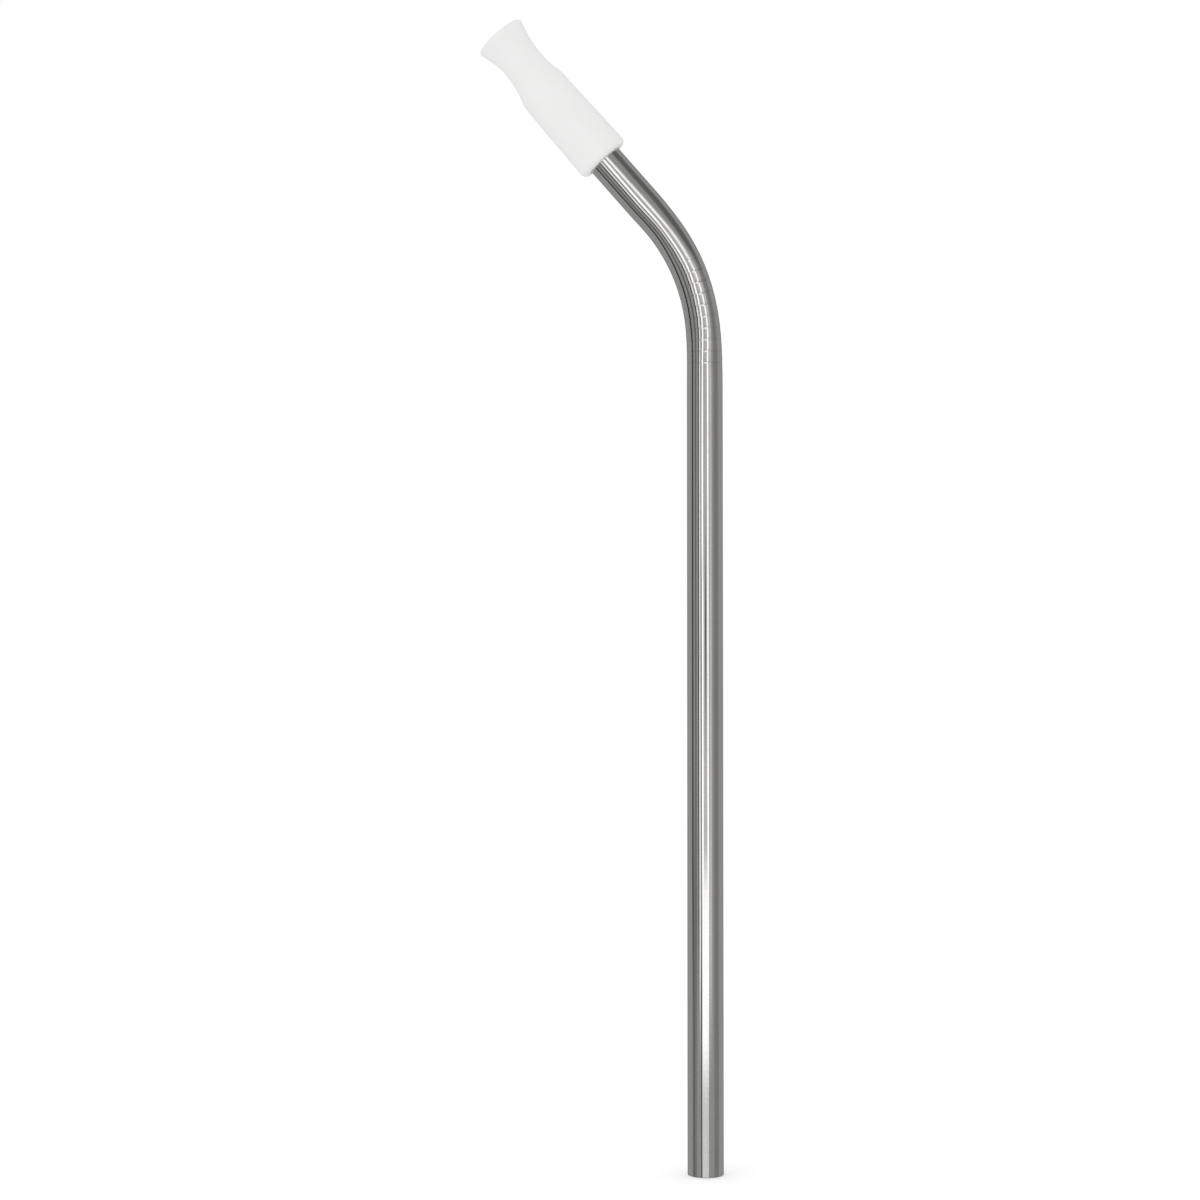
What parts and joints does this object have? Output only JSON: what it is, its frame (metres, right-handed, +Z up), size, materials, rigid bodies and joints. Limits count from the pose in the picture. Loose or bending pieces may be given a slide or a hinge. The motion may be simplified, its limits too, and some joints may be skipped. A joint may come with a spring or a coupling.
{
  "type": "drinking straw",
  "caption": "Bent stainless steel drinking straw with a removable soft silicone mouth tip, open right through.",
  "frame": {"origin": "centre of the tube's lower end", "axes": "+Z up the straight leg, the short arm leans towards -X, and the straw is the same on both sides of y = 0"},
  "size_m": [0.0543, 0.0122, 0.2561],
  "materials": {
    "steel": "polished along its length",
    "silicone": "satin off-white"
  },
  "bodies": {
    "straw": {"steel_tube": "steel"},
    "tip": {"silicone_tip": "silicone"}
  },
  "joints": [
    {"name": "tip_slide", "type": "slide", "parent": "straw", "child": "tip", "axis": [-0.6658, 0, 0.7461], "range_m": [0, 0.02]}
  ]
}
